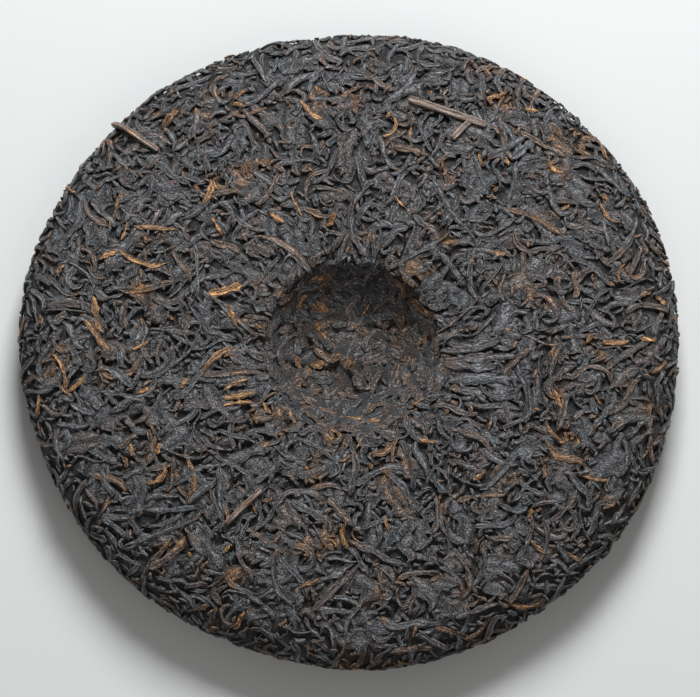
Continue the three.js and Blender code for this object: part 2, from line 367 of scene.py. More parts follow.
class LeafKind(NamedTuple):
    """What leaves of one kind share. A pair is the lowest and the highest value.

    stations are the rings along a leaf, and crown the points across its upper side. Lengths are in
    millimetres. curled, golden_tips: the share of leaves that turn more, or end in gold.
    """

    stations: int
    crown: int
    length: tuple
    width: tuple
    thickness: tuple
    grooves: tuple
    turn: float = 1.2
    curled: float = 0.22
    sway: float = 0.6
    groove_depth: tuple = (0.4, 0.85)
    pinch: tuple = (0.0, 0.45)
    wobble: float = 0.2
    blunt: tuple = (2.0, 6.0)
    end_width: float = 0.3
    warmth: float = 0.07
    golden_tips: float = 0.28
    warmth_spread: float = 0.12
    tone: float = 1.0


KINDS = {
    "long_leaves": LeafKind(15, 7, (8, 20), (1.2, 3.1), (0.5, 0.8), (1.4, 2.6)),
    "short_leaves": LeafKind(9, 7, (3.5, 10), (1.1, 3.3), (0.5, 0.8), (1.4, 2.6), turn=1.5, curled=0.3),
    "thread_leaves": LeafKind(
        13, 4, (7, 20), (0.7, 1.3), (0.5, 0.8), (0.8, 1.4),
        curled=0.35, sway=0.8, groove_depth=(0.1, 0.4), warmth=0.08, golden_tips=0.25,
    ),
    "scraps": LeafKind(5, 5, (1.5, 5), (0.7, 2), (0.4, 0.7), (1, 2), blunt=(1.6, 5.0), warmth=0.1),
    "rim_leaves": LeafKind(11, 7, (6, 17), (1.2, 2.6), (0.6, 1), (1.4, 2.6)),
    "under_leaves": LeafKind(9, 5, (8, 20), (2.4, 4.4), (0.7, 1), (1, 1.8), curled=0.2),
    "matted_leaves": LeafKind(
        9, 7, (4, 12), (1.5, 4.5), (0.12, 0.25), (2, 3),
        wobble=0.22, blunt=(1.6, 4.0), warmth=0.12, golden_tips=0.2, tone=0.6,
    ),
    "broad_leaves": LeafKind(
        11, 9, (7, 17), (3.5, 9), (0.45, 0.7), (1.5, 3),
        turn=0.8, curled=0.0, groove_depth=(0.5, 0.9), pinch=(0.1, 0.5), wobble=0.3, blunt=(1.6, 4.0),
        golden_tips=0.05, tone=0.8, warmth_spread=0.07,
    ),
    "golden_buds": LeafKind(
        11, 7, (3.5, 12), (1.1, 2.5), (0.45, 0.8), (1, 2.4),
        turn=1.4, curled=0.4, wobble=0.28, blunt=(1.3, 4.0), end_width=0.15, warmth=0.5, golden_tips=0.0,
    ),
    "stems": LeafKind(
        9, 9, (9, 24), (1.7, 2.3), (1.7, 2.3), (2, 3),
        turn=0.0, curled=0.0, sway=0.0, groove_depth=(0.04, 0.1), pinch=(0.0, 0.0), wobble=0.03,
        blunt=(60.0, 60.0), end_width=0.95, golden_tips=0.0,
    ),
}


def draw_leaves(kind, count, rng):
    """The sizes and shapes of count leaves of a kind, drawn between its lowest and highest values.

    bend is the heading along a leaf, turn t / 2 + sway t^2 + wiggle sin(pace t + phase), for t from -1 to 1.
    """
    spread = lambda pair: rng.uniform(*pair, count)
    length, width, thickness = np.array((kind.length, kind.width, kind.thickness)) * MM
    t = np.linspace(-1, 1, kind.stations)
    turn = rng.normal(0, kind.turn, count)
    turn *= np.where(rng.random(count) < kind.curled, spread(CURL_GAIN), 1)
    sway = rng.normal(0, kind.sway, count)
    wiggle = spread(WIGGLE) * (kind.turn > 0)
    pace = spread(WIGGLE_PACE)
    phase = rng.uniform(0, 2 * math.pi, (5, count))
    turn = np.clip(turn, -MOST_TURN, MOST_TURN)
    bend = turn[:, None] * t / 2 + sway[:, None] * t**2
    bend += wiggle[:, None] * np.sin(pace[:, None] * t + phase[0][:, None])
    size = rng.beta(*SIZE_DRAW, count)
    return SimpleNamespace(
        kind=kind,
        length=blend(*length, size),
        width=blend(*width, blend(rng.random(count), size, WIDTH_WITH_LENGTH)),
        thickness=spread(thickness),
        bend=bend,
        grooves=spread(kind.grooves),
        groove_depth=spread(kind.groove_depth),
        pinch=spread(kind.pinch),
        blunt=rng.uniform(*kind.blunt, (2, count)),
        twist=rng.normal(0, TWIST_SPREAD, count),
        phase=phase[1:],
        tone=rng.beta(*TONE_DRAW, count) * kind.tone,
        warmth=np.clip(kind.warmth + rng.exponential(kind.warmth_spread, count) + WARMTH_SHIFT, 0, 1),
        wobble=kind.wobble * spread(WOBBLE_SHARE),
        golden_tip=(rng.random(count) < kind.golden_tips) * spread(TIP_WARMTH),
        tip_side=rng.choice((-1, 1), count),
        level=rng.random(count),
    )


def lay_routes(leaves, share, angle, heading):
    """Lays each leaf's middle line on the surface, both ways from its middle.

    Each step goes straight along the heading, is brought back on the surface, and turns by the leaf's bend.
    """
    count = leaves.kind.stations
    half = count // 2
    step = (leaves.length / (count - 1))[:, None]
    position, normal, slope, round_way = surface(share, angle)
    turned = heading[:, None] + leaves.bend[:, half : half + 1]
    first = unit(slope * np.cos(turned) + round_way * np.sin(turned))
    rows = {half: (share, position, normal, first)}
    for way in (-1, 1):
        at, spot, up, down, ahead = share, position, normal, slope, first
        for i in range(1, half + 1):
            row = half + way * i
            to = spot + way * step * ahead
            middle = AXIS[1] + dimple_shift(section_at(at, SECTION.radius))
            to_x, to_y = to[:, 0] - AXIS[0], to[:, 1] - middle
            gain = np.hypot(to_x, to_y) - np.hypot(spot[:, 0] - AXIS[0], spot[:, 1] - middle)
            lean = np.hypot(down[:, 0], down[:, 1]) * np.sign(section_at(at, SECTION.out))
            at = np.clip(at + (gain * lean + (to[:, 2] - spot[:, 2]) * down[:, 2]) / SECTION.length, 0, 1)
            spot, up, down, _ = surface(at, np.arctan2(to_y, to_x))
            ahead = unit(ahead - up * dot(ahead, up))
            turn = (leaves.bend[:, row] - leaves.bend[:, row - way])[:, None]
            ahead = ahead * np.cos(turn) + np.cross(up, ahead) * np.sin(turn)
            rows[row] = (at, spot, up, ahead)
    stack = [np.stack([rows[i][part] for i in range(count)], axis=1) for part in range(4)]
    leaves.share, leaves.position, leaves.normal, leaves.ahead = stack
    leaves.left = unit(np.cross(leaves.normal, leaves.ahead))


class Pile:
    """How high the leaves lie over the bed, in small cells of space along the smooth surface."""

    def __init__(self):
        reach = CAKE_RADIUS + 6 * MM
        self.low = np.array((-reach, -reach, -4 * MM))
        high = np.array((reach, reach, BACK_HEIGHT + 6 * MM))
        self.shape = np.ceil((high - self.low) / CELL).astype(int)
        self.height = np.zeros(int(np.prod(self.shape)), np.float32)
        self.count = 0

    def cells(self, points):
        """The number of the cell that holds each point."""
        index = np.clip(((points - self.low) / CELL).astype(np.int32), 0, self.shape - 1)
        return (index[..., 0] * self.shape[1] + index[..., 1]) * self.shape[2] + index[..., 2]

    def footprint(self, leaves):
        """Notes the cells under each leaf: at and between its stations, in a few places across its width."""
        halfway = lambda rows: (rows[:, 1:] + rows[:, :-1]) / 2
        both = lambda rows: np.concatenate((rows, halfway(rows)), axis=1)
        position, left, normal = both(leaves.position), both(leaves.left), both(leaves.normal)
        side = leaves.width[:, None, None] * ACROSS
        spots = position[:, :, None] + left[:, :, None] * side[..., None]
        shift = normal[:, :, None] * CELL
        leaves.write = self.cells(spots)
        leaves.read = np.concatenate([self.cells(spots + way * shift) for way in (-1, 0, 1)], axis=2)

    def lay(self, leaves, first=0, step=1, forced=False):
        """Lays every step-th leaf from the first, one by one where the pile has room, and notes how high.

        A leaf lies on the highest leaf under each station, smoothed along its length because it is stiff.
        """
        stations = leaves.kind.stations
        stiffness = smoothing(stations)
        profile = 1 - np.linspace(-1, 1, stations) ** 4 * END_FALL
        for k in range(first, len(leaves.length), step):
            found = self.height[leaves.read[k]].max(axis=1)
            under = found[:stations].copy()
            between = found[stations:]
            under[:-1] = np.maximum(under[:-1], between)
            under[1:] = np.maximum(under[1:], between)
            rest = np.maximum(stiffness @ under, under - SINK)
            if not forced and rest.mean() + FITTED_SHARE * leaves.thickness[k] > leaves.room[k]:
                continue
            top = rest + leaves.thickness[k] * profile
            tops = np.concatenate((top, (top[1:] + top[:-1]) / 2))
            cells = leaves.write[k]
            self.height[cells] = np.maximum(self.height[cells], tops[:, None] * ACROSS_HEIGHT)
            self.count += 1
            leaves.laid[k] = True
            leaves.rest[k] = rest
            leaves.top[k] = tops
            leaves.turn_laid[k] = self.count


@lru_cache(None)
def smoothing(count):
    """The matrix that averages a row with its neighbours, (1, 2, 1) / 4, three times over."""
    once = np.eye(count) * 0.5
    once += np.eye(count, k=1) * 0.25 + np.eye(count, k=-1) * 0.25
    once[0, 0] = once[-1, -1] = 0.75
    return np.linalg.matrix_power(once, 3)


def by_zone(share, values):
    """One value for each zone, mixed by how much a place belongs to each."""
    return zones(share) @ np.array(values)


def headings(share, angle, rng):
    """Leaves point every way, but a share of them points along the rim, or outwards beside the dimple."""
    count = len(share)
    _, dimple, rim, _ = zones(share).T
    heading = rng.uniform(0, 2 * math.pi, count)
    radius = section_at(share, SECTION.radius)
    pulled = (1 - smoothstep(radius, *PULLED_FADE)) * (share < SECTION.rim) * (1 - dimple)
    pulled *= PULLED_SHARE[0] + PULLED_SHARE[1] * np.cos(angle) ** 2
    radial = rng.normal(0, PULLED_SPREAD, count) + math.pi * rng.integers(0, 2, count)
    heading = np.where(rng.random(count) < pulled, radial, heading)
    along = math.pi / 2 + rng.normal(0, ALONG_RIM_SPREAD, count)
    return np.where(rng.random(count) < rim * ALONG_RIM_SHARE, along, heading)


def kept_out(share, heading, leaves, rng):
    """Moves the leaves of the back outwards whose inner ends would lie in the dimple.

    A leaf reaches inwards by half its length times 0.3 + 0.7 |cos(heading)|.
    """
    reach = leaves.length / 2 * (0.3 + 0.7 * np.abs(np.cos(heading))) / SECTION.length
    edge = share_on_back(DIMPLE_EDGE)
    low = edge + reach
    outside = (share > edge) & (share < low)
    return np.where(outside, low + (low - share) * rng.random(len(share)), share)


def laid_out(leaves, share, angle, heading, pile):
    """Leaves with their middle lines on the surface, their cells in the pile, and the room that they get."""
    lay_routes(leaves, share, angle, heading)
    pile.footprint(leaves)
    count, stations = leaves.share.shape
    leaves.laid = np.zeros(count, bool)
    leaves.rest = np.zeros((count, stations))
    leaves.top = np.zeros((count, 2 * stations - 1))
    leaves.turn_laid = np.zeros(count)
    leaves.room = by_zone(share, BED_DEPTH) + by_zone(share, PRESS_LEVEL) + CROWDING
    return leaves


def scattered(kind, count, rng, area, pile):
    """Leaves of a kind spread evenly over the part of the surface between two shares of its area."""
    leaves = draw_leaves(kind, count, rng)
    share = share_of_area(rng.uniform(*area, count))
    angle = rng.uniform(0, 2 * math.pi, count)
    heading = headings(share, angle, rng)
    return laid_out(leaves, kept_out(share, heading, leaves, rng), angle, heading, pile)


# Golden and brown buds that stand out, as (x, y, heading in degrees, length, width, turn, sway, warmth).
# Lengths are in millimetres, and turn and sway in radians. y is as the camera sees it, on one level.
SHOWN_BUDS = (
    (13, 67, 60, 9, 1, 3.2, 0.3, 0.9),
    (-12.5, 73, -50, 10, 1.5, 1.2, 0.8, 0.85),
    (54, 72.5, -8, 4.2, 1.6, 0.3, 0, 0.8),
    (46.5, 57, -75, 2.8, 0.9, 0.2, 0, 1),
    (14.5, 44.5, -48, 6, 1, 0.4, 0, 0.9),
    (43.5, 29, -20, 5, 1.5, 0.8, 0.4, 0.9),
    (60, 55, -50, 10, 1.5, 3.4, 0.4, 0.55),
    (-66.7, 35.6, 75, 6, 1.2, 0.5, 0, 0.85),
    (-61.6, 26, -15, 15, 1.8, 1.5, 0.1, 0.9),
    (-71.2, 28.6, 22, 6.5, 1.9, -0.4, 0, 0.85),
    (-42, 47.5, 70, 8, 2, 1.4, 0.2, 0.85),
    (-37, 17.8, 22, 10.5, 2.8, 0.4, -0.4, 0.95),
    (-35.2, 10.3, -70, 7, 1.6, 0.6, 0, 0.8),
    (-40, -2.2, 42, 12.5, 2, -1, 0.2, 0.65),
    (-34.5, -10.2, 26, 9, 1.4, -0.8, 0.3, 0.6),
    (-33, -14, 13, 10.5, 1.6, 0.6, 0.2, 0.85),
    (-33.8, -16, 7, 9.5, 1.4, -0.6, 0.2, 0.8),
    (-84.5, -6, -75, 12, 1.6, -1.2, 0.3, 0.7),
    (-80.5, -10.3, 42, 7, 1.5, 0.3, 0, 0.95),
    (-74.5, 10.5, -80, 12, 2.2, 0.5, 0.4, 0.7),
    (-49.3, -10, 60, 4, 1.5, 0.2, 0, 0.8),
    (-61.6, 1.2, 30, 6, 1.2, 0.6, 0, 0.7),
    (-83.6, 48.5, -45, 8, 1.5, 0.5, 0, 0.65),
    (-22, 39.6, -30, 5, 1.8, 0.4, 0, 0.8),
    (-39.7, 37.2, -60, 6, 1.4, 0.4, 0, 0.65),
    (-58, 36.7, -4, 13, 1.5, 0.2, 0.1, 0.6),
    (-16.6, 44, -62, 8, 0.9, 0.3, 0, 0.7),
    (-19.8, 31.5, -28, 19, 2.3, -1.2, 0, 0.35),
    (-56.5, -39, 40, 9, 1.7, 2.6, 0.5, 0.9),
    (-61.5, -12.5, 25, 4.5, 2.2, 0.5, 0, 0.85),
    (-57, -30, 80, 3.5, 1.5, 0.3, 0, 0.85),
    (-65, -30.5, 95, 4, 1.6, 0.2, 0, 0.85),
    (-37, -61, 50, 3.2, 1.3, 0.2, 0, 0.85),
    (-25, -18, -55, 4.5, 1.2, 0.8, 0, 0.85),
    (-17.5, -20.5, -70, 5, 1.2, 0.5, 0.2, 0.7),
    (20, -16, 10, 4, 1.5, 0.2, 0, 1),
    (22.5, -27.6, -12, 5, 1.3, 0.4, 0.2, 0.95),
    (2.5, -28.2, 62, 4.2, 0.6, 0.1, 0, 1),
    (-1.5, -33, 35, 4, 0.9, 1.2, 0, 0.95),
    (10.5, -53, -75, 6, 1.3, 0.8, 0.3, 0.75),
    (78.5, 2.2, 3, 8.5, 1.8, 0.3, 0.2, 0.85),
    (88, 3, -3, 5, 1.5, 0.3, 0, 0.85),
    (52, 82.5, -25, 5, 1.4, 0.3, 0, 0.95),
    (60, -1.5, -60, 3, 1.5, 0.3, 0, 0.9),
    (61, -15, -70, 6.5, 1.5, 0.5, 0.2, 0.8),
    (-92, -17, 80, 7, 1.6, 0.4, 0, 0.85),
    (72, -39, -10, 8, 1.2, 0.5, 0.4, 0.75),
    (38, -38, 40, 5, 1.2, 0.6, 0, 0.8),
    (-12, -71, 20, 6, 1.3, 0.6, 0.3, 0.7),
    (55, -60, -40, 6, 1.4, 0.8, 0, 0.7),
    (75, 41, -60, 7, 1.3, 0.9, 0.3, 0.6),
    (4.5, 12, 60, 4, 0.8, 0.2, 0, 0.8),
    (-7, -18.5, -20, 6, 1.7, 0.3, 0.2, 0.5),
    (1, -20.5, -12, 5, 1.5, 0.2, 0, 0.85),
    (6.5, -21.5, -20, 5, 1.9, 0.3, 0, 0.8),
    (-13, -15.5, -50, 7, 1.8, 0.6, 0.2, 0.4),
    (16.5, -9, 60, 4, 2.2, 0.3, 0, 0.6),
)

# Dark leaves that stand out, in the same terms. The first four lie side by side to the right of the dimple.
SHOWN_LEAVES = (
    (35.5, 0.6, 6, 17, 2.8, 0.35, 0, 0.08),
    (38.5, -2.2, -1, 21, 2.9, -0.3, 0.1, 0.14),
    (35.2, -5.2, -8, 15, 3.1, 0.2, 0, 0.05),
    (38, -8.6, -2, 18, 3.4, -0.45, 0, 0),
    (31.5, 9.5, 38, 18, 1.6, 0.5, 0, 0.1),
    (35.6, 26.5, 78, 16, 1.8, -1.1, 0.2, 0.15),
    (21.3, 30, 25, 18, 1.7, 0.1, 0.3, 0.05),
    (-29.5, -1, -38, 9, 1.7, 0.6, 0.2, 0),
    (-30.3, -31.3, 28, 14, 4, 0.3, 0, 0.05),
    (-24.6, -37.3, 45, 11, 2.5, 0.3, 0, 0.1),
    (-10.3, -29.5, -30, 13, 1.6, -0.7, 0, 0.1),
    (42.8, -14.3, -20, 13, 1.6, 1.9, 0, 0.05),
    (12.4, -30.5, 80, 8, 1.1, -0.7, 0, 0.5),
    (-68.7, -7.2, -35, 12, 2.8, -1, 0.2, 0),
    (-45.4, 24.1, -88, 16, 1.3, -0.25, 0.2, 0),
    (-48.1, -0.9, 50, 15, 1.1, 1, 0.3, 0.05),
    (-66.3, 18.8, 0, 12, 1.9, -0.9, 0, 0),
    (46.6, 61.1, 35, 13, 2.9, 0.2, 0, 0),
    (38.3, 53.9, -70, 11, 1.6, 0.3, 0, 0),
    (28.5, 44.1, -60, 17, 1.9, 0.3, 0.2, 0.05),
    (68.4, 43.8, -25, 13, 1.2, 2.6, 0, 0.15),
    (54.7, 39.5, -28, 18, 2.3, -0.5, 0, 0.42),
    (77.5, 50.5, -42, 14, 2.3, 0.1, 0, 0),
    (-38.9, -42.9, -88, 16, 2.1, 0.5, 0.3, 0),
    (-56.2, -55.7, 18, 25, 1.5, 0.15, 0.1, 0.1),
    (-22.8, -69.4, -80, 18, 2.5, 1.7, 0, 0.05),
    (-4.3, -72.4, 45, 20, 2.3, 0.2, 0.1, 0.25),
    (-3.1, -49.2, -52, 12, 2.3, 0.2, 0, 0.3),
)

# Stems, as (middle x, middle y, heading in degrees, length, diameter) in millimetres, as in the solid.
STEMS = (
    (28.9, 70.2, -20, 24, 2.3),
    (33.5, 65.2, 47, 9, 1.9),
    (-64.5, 63.8, -37, 18, 1.7),
    (-31.9, -50.5, 48, 15, 1.8),
)

# Broad flat leaves, as (middle x, middle y, heading in degrees, length, width), as in the solid.
BROAD_LEAVES = (
    (-42.3, 60.3, 20, 17, 10),
    (53, 46.6, 62, 24, 9),
    (-80, -21.2, 75, 14, 9),
    (-22, -75, 5, 24, 10),
    (2, -88, -35, 17, 9),
    (24, 87.2, 8, 20, 8),
)


# How a y that the camera sees becomes a true one: (shift, tangent of the camera's lean, level, curve).
SEEN = (0.85, 0.213, 14, 0.0001)

# The level of the leaves of the two tables, and what the stems share: rise, flatness, tone and warmth.
SHOWN_LEVEL = 0.45
STEM_RISE = 0.6 * MM
STEM_FLATNESS = 0.95
STEM_TONE = 0.9
STEM_WARMTH = 0.36


def from_seen(x, y):
    """The y of a thing on the back that is seen at y, in millimetres: what lies higher shows further up.

    It is y - shift - tangent (height - level) + curve y^2.
    """
    shift, tangent, level, curve = SEEN
    height = section_at(share_on_back(np.hypot(x, y) * MM), SECTION.height) / MM
    return y - shift - tangent * (height - level) + curve * y**2


def chosen(kind, rows, rng, pile):
    """Leaves placed one by one: rows of (x, y, heading in degrees, length, width, turn, sway, warmth).

    Rows without the last three hold true places, and their leaves are straight.
    """
    seen = len(rows[0]) == 8
    table = np.array([(*row, 0, 0, 0)[:8] for row in rows], float)
    x, y, degrees, length, width, turn, sway, warmth = table.T
    if seen:
        y = from_seen(x, y)
    leaves = draw_leaves(kind, len(rows), rng)
    leaves.length = length * MM
    leaves.width = width * MM
    t = np.linspace(-1, 1, kind.stations)
    leaves.bend = turn[:, None] * t / 2 + sway[:, None] * t**2
    leaves.level[:] = SHOWN_LEVEL if seen else 1
    if seen:
        leaves.warmth = warmth
    if kind is KINDS["stems"]:
        leaves.thickness = leaves.width * STEM_FLATNESS
        leaves.tone[:] = STEM_TONE
        leaves.warmth[:] = STEM_WARMTH
    share, angle = on_back(x * MM, y * MM)
    return laid_out(leaves, share, angle, np.radians(degrees) - angle, pile)


@lru_cache(None)
def pressed_leaves(seed, tries, layers):
    """All the leaves of the cake, pressed on one pile: a dictionary from the kind's name to its leaves.

    Each kind gets its tries in rounds, so that the kinds lie over and under each other.
    """
    rng = np.random.default_rng(seed)
    pile = Pile()
    dimple = section_at(share_on_back(DIMPLE_FIELD), SECTION.area)
    shoulder = section_at(share_on_back(BACK_FIELD), SECTION.area)
    rim = section_at(SECTION.rim + RIM_FIELD_REACH, SECTION.area)
    always, later = range(layers), range(1, layers)
    # Each kind's share of the tries, its rounds, and its field between two shares of the surface's area.
    plan = (
        ("broad_leaves", 0.6, range(5), dimple, shoulder),
        ("under_leaves", 0.5, always, rim - 0.02, 1.0),
        ("rim_leaves", 0.6, always, shoulder - 0.03, rim),
        ("matted_leaves", 0.7, always, 0.0, dimple),
        ("long_leaves", 0.8, always, dimple, shoulder),
        ("short_leaves", 1.25, always, dimple, rim - 0.03),
        ("thread_leaves", 0.35, always, dimple, shoulder),
        ("scraps", 2.6, later, dimple, rim),
        ("golden_buds", 0.24, later, dimple - 0.02, rim),
    )
    found = {
        name: scattered(KINDS[name], int(tries * part), rng, area, pile) for name, part, _, *area in plan
    }
    tables = (
        ("shown_broad_leaves", "broad_leaves", BROAD_LEAVES),
        ("stems", "stems", STEMS),
        ("shown_buds", "golden_buds", SHOWN_BUDS),
        ("shown_leaves", "long_leaves", SHOWN_LEAVES),
    )
    for name, kind, rows in tables:
        found[name] = chosen(KINDS[kind], rows, rng, pile)
    found["broad_leaves"].room -= BROAD_DEPTH
    found["scraps"].room += SCRAP_CROWDING
    for layer in always:
        if layer == 0:
            pile.lay(found["shown_broad_leaves"], forced=True)
        if layer == layers - 1:
            pile.lay(found["shown_leaves"], forced=True)
        for name, _, rounds, *_ in plan:
            if layer in rounds:
                pile.lay(found[name], layer - rounds.start, len(rounds))
    pile.lay(found["stems"], forced=True)
    pile.lay(found["shown_buds"], forced=True)
    for leaves in found.values():
        seen = (leaves.top[:, :, None] > pile.height[leaves.write] - HIDDEN_DEPTH).mean(axis=(1, 2))
        leaves.kept = leaves.laid & (seen > HIDDEN_SHARE)
        leaves.turn_laid = leaves.turn_laid / pile.count
    return found


def leaf_rings(leaves):
    """The closed rings of every kept leaf, its two end points, its UV and its shading values: its own tone
    and warmth, and painted shade and highlight.

    Across a leaf, v runs from 0 to 1: its side is half cos(pi v), and its height is thickness times
    0.12 + 0.88 sin(pi v)^0.45 d, where d = 1 - depth (1 + cos(2 pi (grooves v + twist t / 2 + phase))) / 2,
    so the grooves wind round the leaf. Two points close the ring underneath. The width tapers as
    e + (1 - e) (1 - |t|^blunt)^0.5, where e is its share at the end, wavers as a sum of two sines, and is
    pinched where the leaf twists. A leaf that lies too high is pressed in until about half of it is under its
    cap, and what is over the cap is levelled to it by a soft minimum.
    """
    kind, kept = leaves.kind, leaves.kept
    pick = lambda name: getattr(leaves, name)[kept]
    column = lambda name: pick(name)[:, None]
    t = np.linspace(-1, 1, kind.stations)
    v = np.linspace(0, 1, kind.crown)
    wind, groove_start, shift, wave_start = leaves.phase[:, kept, None]
    near, far = leaves.blunt[:, kept, None]
    taper = kind.end_width + (1 - kind.end_width) * np.sqrt(1 - np.abs(t) ** np.where(t < 0, near, far))
    winding = np.sin(math.pi * column("twist") * t + wind) ** 2
    waves = np.sin(5.3 * t + wave_start) + np.sin(8.9 * t + groove_start)
    half = column("width") / 2 * taper * (1 - column("pinch") * winding) * (1 + column("wobble") * waves)
    lumps = 1 + 1.2 * column("wobble") * np.roll(waves, 2, axis=1)
    tall = column("thickness") * (0.4 + 0.6 * taper) * (1 + 0.4 * column("pinch") * winding) * lumps
    turns = column("grooves")[..., None] * v + (column("twist") * t * 0.5)[..., None]
    groove = np.cos(2 * math.pi * (turns + groove_start[..., None] / (2 * math.pi)))
    dip = 1 - column("groove_depth")[..., None] * (1 + groove) / 2
    arch = np.sin(math.pi * v) ** 0.45
    side = half[..., None] * np.concatenate((np.cos(math.pi * v), UNDER_SIDES))
    over = tall[..., None] * (0.12 + 0.88 * arch * dip)
    below = np.repeat(-UNDER_DEPTH * tall[..., None], 2, axis=2)
    share = pick("share")
    _, in_dimple, at_rim, _ = np.moveaxis(zones(share), -1, 0)
    spread = PRESS_SPREAD * (1 - 0.5 * in_dimple) + RIM_SPREAD * at_rim * column("level") ** 2
    cap = by_zone(share, PRESS_LEVEL) + (column("turn_laid") * 0.6 + column("level") * 0.4) * spread
    if kind is KINDS["stems"]:
        cap = cap + STEM_RISE
    lift = np.minimum(pick("rest") - by_zone(share, BED_DEPTH), cap - 0.55 * column("thickness"))
    height = lift[..., None] + np.concatenate((over, below), axis=2)
    height = cap[..., None] - PRESS_SOFTNESS * np.logaddexp(0, (cap[..., None] - height) / PRESS_SOFTNESS)
    rings = (
        pick("position")[:, :, None]
        + pick("left")[:, :, None] * side[..., None]
        + pick("normal")[:, :, None] * height[..., None]
    )
    reach = (half[:, (0, -1)] * np.array((-0.5, 0.5)))[..., None]
    poles = rings[:, (0, -1)].mean(axis=2) + pick("ahead")[:, (0, -1)] * reach
    everywhere = np.ones_like(height)
    along = (column("length") * (t + 1) / 2)[..., None] * everywhere
    across = column("width")[..., None] * np.concatenate((v, (1.2, 1.4))) * everywhere
    shift = shift[..., None]
    tip = np.clip(column("tip_side") * t, 0, 1) ** 3 * column("golden_tip")
    shade = {
        "tone": column("tone")[..., None] * everywhere,
        "warmth": np.maximum(column("warmth"), tip)[..., None] * everywhere,
        # Painted highlight on the crests of the leaf's grooves, and painted shade in the grooves and on its
        # underside.
        "crest": np.concatenate((arch**0.5 * (1 - groove) / 2, np.zeros_like(below)), axis=2),
        # Painted shade that darkens a leaf the further it lies below the press's cap.
        "deep": np.clip((cap[..., None] - height) / PAINTED_SHADE_DEPTH, 0, 1),
    }
    return rings, poles, (along * 100 + shift, across * 100 + shift * 3), shade


def ring_faces(rings, points):
    """Quads between closed rings of points, and triangles to a pole at each end, numbered after the rings."""
    i, j = np.meshgrid(np.arange(rings - 1), np.arange(points), indexing="ij")
    beside = (j + 1) % points
    corners = (i * points + j, i * points + beside, (i + 1) * points + beside, (i + 1) * points + j)
    ring = np.arange(points)
    after = (ring + 1) % points
    last = (rings - 1) * points
    start = np.stack((np.full(points, rings * points), after, ring), axis=1)
    end = np.stack((np.full(points, rings * points + 1), last + ring, last + after), axis=1)
    return np.stack(corners, axis=-1).reshape(-1, 4), np.concatenate((start, end))


def closed_leaves(leaves):
    """Vertices, quads, triangles, UV and shading values of all kept leaves as closed skins in one mesh."""
    rings, poles, (u, w), shade = leaf_rings(leaves)
    count, stations, points = rings.shape[:3]
    size = stations * points + 2
    vertices = np.concatenate((rings.reshape(count, -1, 3), poles), axis=1).reshape(-1, 3)
    gap, gap_spread = TABLE_GAP
    vertices[:, 2] = np.maximum(vertices[:, 2], gap + gap_spread * np.repeat(leaves.level[leaves.kept], size))
    first = (np.arange(count) * size)[:, None, None]
    quads, triangles = (faces + first for faces in ring_faces(stations, points))
    ends = lambda rows: rows[:, (0, -1), points // 2]
    flat = lambda rows: np.concatenate((rows.reshape(count, -1), ends(rows)), axis=1).ravel()
    uv = np.stack((flat(u), flat(w)), axis=1)
    shade = {name: flat(rows) for name, rows in shade.items()}
    return vertices, quads.reshape(-1, 4), triangles.reshape(-1, 3), uv, shade


def add_mesh(name, vertices, quads, triangles, uv=None, shade=None):
    """A smooth mesh object at the origin from whole arrays, with UV and shading values for its vertices."""
    mesh = bpy.data.meshes.new(name)
    corners = np.concatenate((quads.ravel(), triangles.ravel())).astype(np.int32)
    sizes = np.concatenate((np.full(len(quads), 4), np.full(len(triangles), 3)))
    mesh.vertices.add(len(vertices))
    mesh.vertices.foreach_set("co", vertices.astype(np.float32).ravel())
    mesh.loops.add(len(corners))
    mesh.loops.foreach_set("vertex_index", corners)
    mesh.polygons.add(len(sizes))
    starts = np.concatenate(([0], np.cumsum(sizes)[:-1])).astype(np.int32)
    mesh.polygons.foreach_set("loop_start", starts)
    mesh.polygons.foreach_set("use_smooth", np.ones(len(sizes), bool))
    mesh.update(calc_edges=True)
    if uv is not None:
        layer = mesh.uv_layers.new(name="UVMap")
        layer.data.foreach_set("uv", uv[corners].astype(np.float32).ravel())
    for label, values in (shade or {}).items():
        data = mesh.attributes.new(label, "FLOAT", "POINT")
        data.data.foreach_set("value", values.astype(np.float32))
    mesh.validate()
    piece = bpy.data.objects.new(name, mesh)
    bpy.context.scene.collection.objects.link(piece)
    return piece


def finish_piece(piece, material):
    """Gives a piece its material, and lets it ride on the cake in place of the plain solid."""
    piece.data.materials.append(material)
    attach(piece, "root")
    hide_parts(NODE)


def add_leaves(context, finish, *names):
    """One piece for each named kind of leaf, joined from its pressed leaves, in one finish."""
    settings = context.scene.tea_cake
    found = pressed_leaves(settings.seed, settings.tries, settings.layers)
    for name in names:
        finish_piece(add_mesh(name, *closed_leaves(found[name])), leaf_material(finish))
    return {"FINISHED"}


# Materials


# Finishes of the leaves: (roughness, relief, wrinkles for each centimetre across and along, distortion).
FINISHES = {
    "dark_leaf": (0.48, 0.7 * MM, 22.0, 4.0, 0.3),
    "crumpled_leaf": (0.5, 0.8 * MM, 12.0, 5.5, 1.2),
    "golden_bud": (0.6, 0.45 * MM, 20.0, 3.5, 0.3),
    "stem_bark": (0.5, 0.3 * MM, 22.0, 1.0, 0.3),
}


def group_tree(name, inputs, outputs):
    """An empty shader node group, its start and its end: inputs are (name, kind, default)."""
    tree = bpy.data.node_groups.new(name, "ShaderNodeTree")
    for label, kind, default in inputs:
        socket = tree.interface.new_socket(name=label, in_out="INPUT", socket_type=kind)
        if default is not None:
            socket.default_value = default
    for label, kind in outputs:
        tree.interface.new_socket(name=label, in_out="OUTPUT", socket_type=kind)
    return tree, tree.nodes.new("NodeGroupInput"), tree.nodes.new("NodeGroupOutput")


def add_node(tree, kind, **values):
    """A node of a tree. A value whose name starts with in_ goes to the input socket of that number."""
    node = tree.nodes.new(kind)
    for name, value in values.items():
        if name.startswith("in_"):
            node.inputs[int(name[3:])].default_value = value
        else:
            setattr(node, name, value)
    return node


